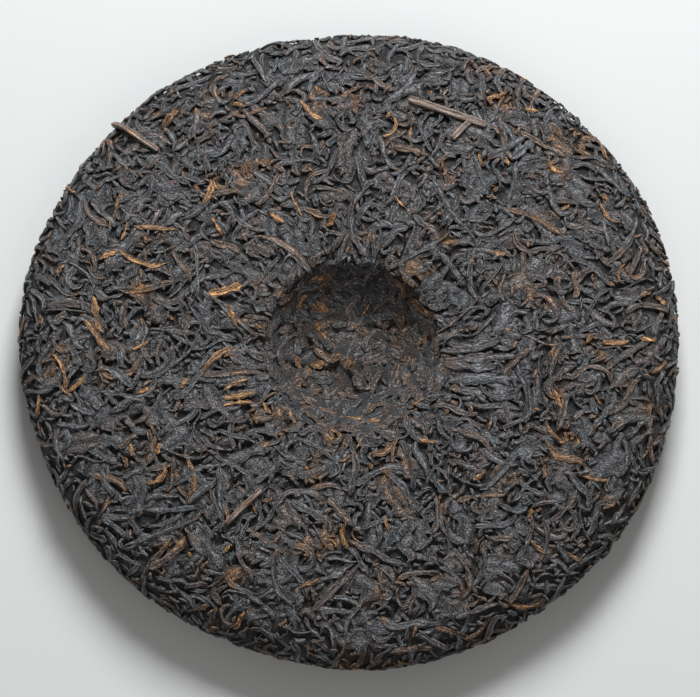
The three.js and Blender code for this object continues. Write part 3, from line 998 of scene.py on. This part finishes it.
def math_node(tree, operation, a, b=None, clamp=False):
    """The output of a Math node on two values, each a socket or a number."""
    node = add_node(tree, "ShaderNodeMath", operation=operation, use_clamp=clamp)
    for socket, value in zip(node.inputs, (a, b)):
        if isinstance(value, bpy.types.NodeSocket):
            tree.links.new(value, socket)
        elif value is not None:
            socket.default_value = value
    return node.outputs[0]


def scaled(tree, value, gain, offset, clamp=False):
    """value gain + offset."""
    result = math_node(tree, "MULTIPLY_ADD", value, gain, clamp)
    result.node.inputs[2].default_value = offset
    return result


def mix_colour(tree, factor, a, b, mode="MIX"):
    """The colour output of a Mix node. Each of factor, a and b is a socket or a plain value."""
    node = add_node(tree, "ShaderNodeMix", data_type="RGBA", blend_type=mode)
    for socket, value in ((node.inputs[0], factor), (node.inputs[6], a), (node.inputs[7], b)):
        if isinstance(value, bpy.types.NodeSocket):
            tree.links.new(value, socket)
        else:
            socket.default_value = value
    return node.outputs[2]


@lru_cache(None)
def wrinkle_group():
    """Wrinkles from noises n: valleys 7 |n - 0.5| painted dark as shade, and finer crests 1 - 4 |n - 0.5|
    painted pale as highlight, over a swell.
    """
    tree, start, end = group_tree(
        "leaf_wrinkles",
        (("Vector", "NodeSocketVector", None), ("Distortion", "NodeSocketFloat", 0.3)),
        (("Height", "NodeSocketFloat"), ("Crest", "NodeSocketFloat")),
    )
    parts = []
    for scale, gain, offset, part in ((0.8, 7.0, 0.0, 0.55), (2.2, -4.0, 1.0, 0.45)):
        noise = add_node(tree, "ShaderNodeTexNoise", in_2=scale, in_3=1.0, in_4=0.5)
        tree.links.new(start.outputs["Vector"], noise.inputs["Vector"])
        tree.links.new(start.outputs["Distortion"], noise.inputs["Distortion"])
        away = math_node(tree, "ABSOLUTE", math_node(tree, "SUBTRACT", noise.outputs["Fac"], 0.5))
        parts.append(math_node(tree, "MULTIPLY", scaled(tree, away, gain, offset, True), part))
    swell = add_node(tree, "ShaderNodeTexNoise", in_2=0.6, in_3=0.0)
    tree.links.new(start.outputs["Vector"], swell.inputs["Vector"])
    both = math_node(tree, "ADD", *parts)
    tree.links.new(math_node(tree, "ADD", both, swell.outputs["Fac"]), end.inputs["Height"])
    tree.links.new(both, end.inputs["Crest"])
    return tree


@lru_cache(None)
def mottle_group():
    """Patches and specks over the whole cake, from two noises of its own place in space."""
    tree, start, end = group_tree(
        "leaf_mottle",
        (("Patch", "NodeSocketFloat", 90.0), ("Speck", "NodeSocketFloat", 2200.0)),
        (("Patch", "NodeSocketFloat"), ("Speck", "NodeSocketFloat")),
    )
    place = add_node(tree, "ShaderNodeTexCoord")
    for label, detail in (("Patch", 3.0), ("Speck", 2.0)):
        noise = add_node(tree, "ShaderNodeTexNoise", in_3=detail, in_4=0.6)
        tree.links.new(place.outputs["Object"], noise.inputs["Vector"])
        tree.links.new(start.outputs[label], noise.inputs["Scale"])
        tree.links.new(noise.outputs["Fac"], end.inputs[label])
    return tree


def new_material(name):
    """A new material, its nodes, and the patches and the specks of the shared mottle in it."""
    material = bpy.data.materials.new(name)
    material.use_nodes = True
    mottle = add_node(material.node_tree, "ShaderNodeGroup", node_tree=mottle_group())
    return material, material.node_tree, *mottle.outputs


def wrinkled(tree, place, density, distortion):
    """The painted shade and highlight and the height of the shared wrinkles, at a place times a density along
    each axis.
    """
    stretched = add_node(tree, "ShaderNodeVectorMath", operation="MULTIPLY", in_1=density)
    tree.links.new(place, stretched.inputs[0])
    lines = add_node(tree, "ShaderNodeGroup", node_tree=wrinkle_group(), in_1=distortion)
    tree.links.new(stretched.outputs[0], lines.inputs["Vector"])
    return lines.outputs["Crest"], lines.outputs["Height"]


def attribute(tree, name):
    """The value output of one of the piece's own shading values."""
    return add_node(tree, "ShaderNodeAttribute", attribute_name=name).outputs["Fac"]


def colour(values):
    """A colour with full alpha."""
    return (*values, 1.0)


def leaf_colour(tree, tone, warmth, shade, speck):
    """Dark to light by tone, brown to golden where warm, times a shade: painted shade black in folds, painted
    highlight pale on crests.
    """
    settings = bpy.context.scene.tea_cake
    base = mix_colour(tree, tone, colour(settings.dark_leaf), colour(settings.light_leaf))
    ramp = add_node(tree, "ShaderNodeValToRGB")
    stops = ((0.2, settings.brown_leaf), (1.0, settings.golden_leaf))
    for element, (position, tint) in zip(ramp.color_ramp.elements, stops):
        element.position = position
        element.color = colour(tint)
    speckled = math_node(tree, "ADD", warmth, scaled(tree, speck, 0.5, -0.25), clamp=True)
    tree.links.new(speckled, ramp.inputs[0])
    share = math_node(tree, "MULTIPLY", speckled, 1.6, clamp=True)
    base = mix_colour(tree, share, base, ramp.outputs[0])
    grey = add_node(tree, "ShaderNodeCombineColor")
    for socket in grey.inputs[:3]:
        tree.links.new(shade, socket)
    return mix_colour(tree, 1.0, base, grey.outputs[0], "MULTIPLY")


def finish_material(tree, base, rough, height, relief):
    """Joins the colour, the roughness and the relief to the material's own shader."""
    shader = tree.nodes["Principled BSDF"]
    tree.links.new(base, shader.inputs["Base Color"])
    tree.links.new(rough, shader.inputs["Roughness"])
    bump = add_node(tree, "ShaderNodeBump", in_0=1.0, in_1=relief)
    tree.links.new(height, bump.inputs["Height"])
    tree.links.new(bump.outputs[0], shader.inputs["Normal"])
    shader.inputs["IOR"].default_value = 1.45


@lru_cache(None)
def leaf_material(name):
    """Dry rolled leaf with wrinkles along it, in one of the finishes. Its UV is in centimetres."""
    roughness, relief, across, along, distortion = FINISHES[name]
    material, tree, patch, speck = new_material(name)
    uv = add_node(tree, "ShaderNodeUVMap", uv_map="UVMap").outputs[0]
    painted_wrinkle_shade, height = wrinkled(tree, uv, (along, across, 1.0), distortion)
    own_tone = scaled(tree, attribute(tree, "tone"), 0.4, 0.28)
    tone = math_node(tree, "ADD", own_tone, scaled(tree, patch, 0.5, -0.25), clamp=True)
    brown = math_node(tree, "MAXIMUM", scaled(tree, patch, -3.2, 1.4), 0.0)
    warmth = math_node(tree, "ADD", attribute(tree, "warmth"), brown, clamp=True)
    # Painted highlight on the crests of the leaf's grooves, and painted shade in them and under the leaf.
    shade = scaled(tree, attribute(tree, "crest"), 1.1, 0.32)
    # Painted shade in the wrinkles' valleys and painted highlight on their crests.
    ridge = scaled(tree, painted_wrinkle_shade, 2.2, 0.03)
    # Painted shade, up to a third darker, below the press's cap.
    deep = scaled(tree, attribute(tree, "deep"), -0.3, 1.0)
    grain = scaled(tree, speck, 2.6, -0.3)
    for part in (ridge, deep, grain):
        shade = math_node(tree, "MULTIPLY", shade, part)
    base = leaf_colour(tree, tone, warmth, shade, speck)
    finish_material(tree, base, scaled(tree, speck, 0.3, roughness - 0.15), height, relief)
    return material


def bed_material():
    """The bed between the leaves: matted scraps and fibres, as bent wrinkles in its own place in space,
    darkened by painted shade in the gaps between the leaves.
    """
    material, tree, patch, speck = new_material("leaf_bed")
    place = add_node(tree, "ShaderNodeTexCoord").outputs["Object"]
    painted_wrinkle_shade, height = wrinkled(tree, place, (620.0, 620.0, 620.0), 2.2)
    dimple = attribute(tree, "dimple")
    paler = math_node(tree, "MULTIPLY", dimple, 0.15)
    tone = math_node(tree, "ADD", scaled(tree, patch, 0.8, -0.3), paler, clamp=True)
    warmer = math_node(tree, "MULTIPLY", dimple, 0.09)
    warmth = math_node(tree, "ADD", scaled(tree, patch, -1.5, 0.75), warmer, clamp=True)
    # Painted shade in the wrinkles' valleys and painted highlight on their crests.
    crest = scaled(tree, painted_wrinkle_shade, 1.5, 0.1)
    # Painted shade in the gaps between leaves: the bed's colour times 0.5, and times 0.65 in the dimple.
    shade = math_node(tree, "MULTIPLY", crest, scaled(tree, dimple, 0.15, 0.5))
    base = leaf_colour(tree, tone, warmth, shade, speck)
    finish_material(tree, base, scaled(tree, speck, 0.3, 0.5), height, 0.6 * MM)
    return material


def bed_mesh():
    """The relief core: a grid of rings and spokes on the bed's level, with a pole at each end.

    Its roughness is a sum of sines of place in many directions, each finer and lower than the last.
    """
    edge = share_on_back(FINE_RADIUS)
    fine = np.linspace(0, edge, FINE_RINGS + 1)[1:]
    shares = np.concatenate((fine, np.linspace(edge, 1, BED_RINGS - FINE_RINGS)[1:-1]))
    angles = np.linspace(0, 2 * math.pi, BED_SPOKES, endpoint=False)
    share, angle = np.meshgrid(shares, angles, indexing="ij")
    position, normal, _, _ = surface(share, angle)
    rng = np.random.default_rng(BED_SEED)
    rough = np.zeros_like(share)
    for size in BED_SINES:
        for _ in range(5):
            way = unit(rng.normal(size=3))
            wave = np.sin(position @ way * (2 * math.pi / (size * MM)) + rng.uniform(0, 6.3))
            rough += wave * size * BED_ROUGHNESS * MM
    position = position + normal * (rough - by_zone(share, BED_DEPTH))[..., None]
    position[..., 2] = np.maximum(position[..., 2], BED_LOWEST)
    poles = np.stack((position[0].mean(axis=0), position[-1].mean(axis=0)))
    vertices = np.concatenate((position.reshape(-1, 3), poles))
    outwards = (np.roll(faces[:, ::-1], 1, axis=1) for faces in ring_faces(len(shares), BED_SPOKES))
    dimple = np.append(zones(share)[..., 1].ravel(), (1, 0))
    return vertices, *outwards, dimple


def leaf_tint(name, description, default):
    """The property of a leaf's colour."""
    return FloatVectorProperty(
        name=name, description=description, default=default, subtype="COLOR", size=3, min=0, max=1
    )


class TeaCakeSettings(bpy.types.PropertyGroup):
    """The sizes and colours that a user would change."""

    seed: IntProperty(name="Seed", description="Which of many like cakes is made", default=357, min=0)
    tries: IntProperty(
        name="Leaf tries", description="How many leaves, by each kind's share, are offered to the press",
        default=6500, min=100,
    )
    layers: IntProperty(
        name="Rounds", description="Rounds in which the kinds of leaf take turns", default=6, min=1
    )
    dark_leaf: leaf_tint("Darkest leaf", "Colour of the darkest leaves", (0.034, 0.0345, 0.036))
    light_leaf: leaf_tint("Lightest leaf", "Colour of the palest dark leaves", (0.142, 0.149, 0.159))
    brown_leaf: leaf_tint("Brown leaf", "Colour of a brown leaf", (0.126, 0.074, 0.047))
    golden_leaf: leaf_tint("Golden bud", "Colour of the brightest buds", (0.27, 0.14, 0.056))
    camera_elevation: FloatProperty(
        name="Camera elevation", description="How far over the table the camera looks from",
        subtype="ANGLE", default=math.radians(78),
    )
    camera_distance: FloatProperty(
        name="Camera distance", description="From the camera to the middle of the cake",
        unit="LENGTH", default=2.0,
    )


class TEACAKE_OT_bed(bpy.types.Operator):
    """Adds the dark relief core that shows between the leaves, darkened more by painted shade"""

    bl_idname = "teacake.bed"
    bl_label = "Leaf bed"

    def execute(self, context):
        vertices, quads, triangles, dimple = bed_mesh()
        bed = add_mesh("leaf_bed", vertices, quads, triangles, shade={"dimple": dimple})
        finish_piece(bed, bed_material())
        return {"FINISHED"}


class TEACAKE_OT_leaves(bpy.types.Operator):
    """Adds the twisted dark leaves of the back, the rim and the underside"""

    bl_idname = "teacake.leaves"
    bl_label = "Twisted leaves"

    def execute(self, context):
        kinds = ("long_leaves", "short_leaves", "thread_leaves", "scraps", "rim_leaves", "under_leaves")
        return add_leaves(context, "dark_leaf", *kinds, "shown_leaves")


class TEACAKE_OT_dimple(bpy.types.Operator):
    """Adds the fine matted leaves in the dimple"""

    bl_idname = "teacake.dimple"
    bl_label = "Matted leaves"

    def execute(self, context):
        return add_leaves(context, "crumpled_leaf", "matted_leaves")


class TEACAKE_OT_broad(bpy.types.Operator):
    """Adds the broad leaves that were pressed flat"""

    bl_idname = "teacake.broad"
    bl_label = "Broad leaves"

    def execute(self, context):
        return add_leaves(context, "crumpled_leaf", "broad_leaves", "shown_broad_leaves")


class TEACAKE_OT_buds(bpy.types.Operator):
    """Adds the golden and brown buds"""

    bl_idname = "teacake.buds"
    bl_label = "Golden buds"

    def execute(self, context):
        return add_leaves(context, "golden_bud", "golden_buds", "shown_buds")


class TEACAKE_OT_stems(bpy.types.Operator):
    """Adds the cut stems"""

    bl_idname = "teacake.stems"
    bl_label = "Stems"

    def execute(self, context):
        return add_leaves(context, "stem_bark", "stems")


# The studio: (name, place, size, power, tint) of each soft light, the place that they point at, the sky's
# tint and strength, and the floor's half width, colour and roughness.
LIGHTS = (
    ("key", (0.1, 0.8, 0.68), 0.42, 21.5, (0.95, 0.98, 1.0)),
    ("fill", (0.2, -0.8, 0.9), 0.9, 3, (1.0, 0.97, 0.94)),
)
LIT_PLACE = Vector((0, 0, 0.012))
SKY_TINT = (0.95, 0.975, 1.0, 1)
SKY_STRENGTH = 0.24
FLOOR_HALF = 3.0
FLOOR_COLOUR = (0.5, 0.5, 0.49, 1)
FLOOR_ROUGHNESS = 0.8

# The camera: its frame is 700 pixels wide, with 3.357 of them for each millimetre of the cake.
FRAME_WIDTH = 700 / 3.357 * MM
SENSOR_WIDTH = 36
CAMERA_AIM = Vector((-0.0003, -0.0004, 0.014))
NEAREST_SEEN = 0.01


def set_inputs(tree, node, values):
    """Gives input sockets of a tree's node their plain values by name."""
    for name, value in values.items():
        tree.nodes[node].inputs[name].default_value = value


def area_light(name, place, size, power, tint):
    """A square soft light that points at the cake."""
    light = bpy.data.lights.new(name, "AREA")
    light.shape = "SQUARE"
    light.size = size
    light.energy = power
    light.color = tint
    lamp = bpy.data.objects.new(name, light)
    lamp.location = place
    lamp.rotation_euler = (LIT_PLACE - Vector(place)).to_track_quat("-Z", "Y").to_euler()
    bpy.context.scene.collection.objects.link(lamp)


class TEACAKE_OT_stage(bpy.types.Operator):
    """Adds the pale floor, the soft lights and the camera"""

    bl_idname = "teacake.stage"
    bl_label = "Stage"

    def execute(self, context):
        settings = context.scene.tea_cake
        corners = np.array(((-1, -1, 0), (1, -1, 0), (1, 1, 0), (-1, 1, 0))) * FLOOR_HALF
        floor = add_mesh("floor", corners, np.array(((0, 1, 2, 3),)), np.zeros((0, 3), int))
        paper = bpy.data.materials.new("pale_floor")
        paper.use_nodes = True
        finish = {"Base Color": FLOOR_COLOUR, "Roughness": FLOOR_ROUGHNESS}
        set_inputs(paper.node_tree, "Principled BSDF", finish)
        floor.data.materials.append(paper)
        for light in LIGHTS:
            area_light(*light)
        world = bpy.data.worlds.new("studio")
        world.use_nodes = True
        set_inputs(world.node_tree, "Background", {"Color": SKY_TINT, "Strength": SKY_STRENGTH})
        context.scene.world = world
        context.scene.view_settings.view_transform = "Standard"
        camera = bpy.data.cameras.new("camera")
        camera.sensor_width = SENSOR_WIDTH
        camera.lens = SENSOR_WIDTH * settings.camera_distance / FRAME_WIDTH
        camera.clip_start = NEAREST_SEEN
        eye = bpy.data.objects.new("camera", camera)
        context.scene.collection.objects.link(eye)
        up = settings.camera_elevation
        back = Vector((0, -math.cos(up), math.sin(up)))
        eye.location = CAMERA_AIM + back * settings.camera_distance
        eye.rotation_euler = (-back).to_track_quat("-Z", "Y").to_euler()
        context.scene.camera = eye
        return {"FINISHED"}


STEPS = (
    TEACAKE_OT_bed,
    TEACAKE_OT_leaves,
    TEACAKE_OT_dimple,
    TEACAKE_OT_broad,
    TEACAKE_OT_buds,
    TEACAKE_OT_stems,
    TEACAKE_OT_stage,
)


class TEACAKE_PT_panel(bpy.types.Panel):
    """Lists the settings and the steps"""

    bl_label = "Tea Cake"
    bl_space_type = "VIEW_3D"
    bl_region_type = "UI"
    bl_category = "Tea Cake"

    def draw(self, context):
        settings = context.scene.tea_cake
        for name in TeaCakeSettings.__annotations__:
            self.layout.prop(settings, name)
        for step in STEPS:
            self.layout.operator(step.bl_idname)


CLASSES = (TeaCakeSettings, *STEPS, TEACAKE_PT_panel)


def register():
    for cls in CLASSES:
        bpy.utils.register_class(cls)
    bpy.types.Scene.tea_cake = PointerProperty(type=TeaCakeSettings)


def unregister():
    del bpy.types.Scene.tea_cake
    for cls in reversed(CLASSES):
        bpy.utils.unregister_class(cls)


def main():
    register()
    for step in STEPS:
        group, name = step.bl_idname.split(".")
        getattr(getattr(bpy.ops, group), name)()


if __name__ == "__main__":
    main()
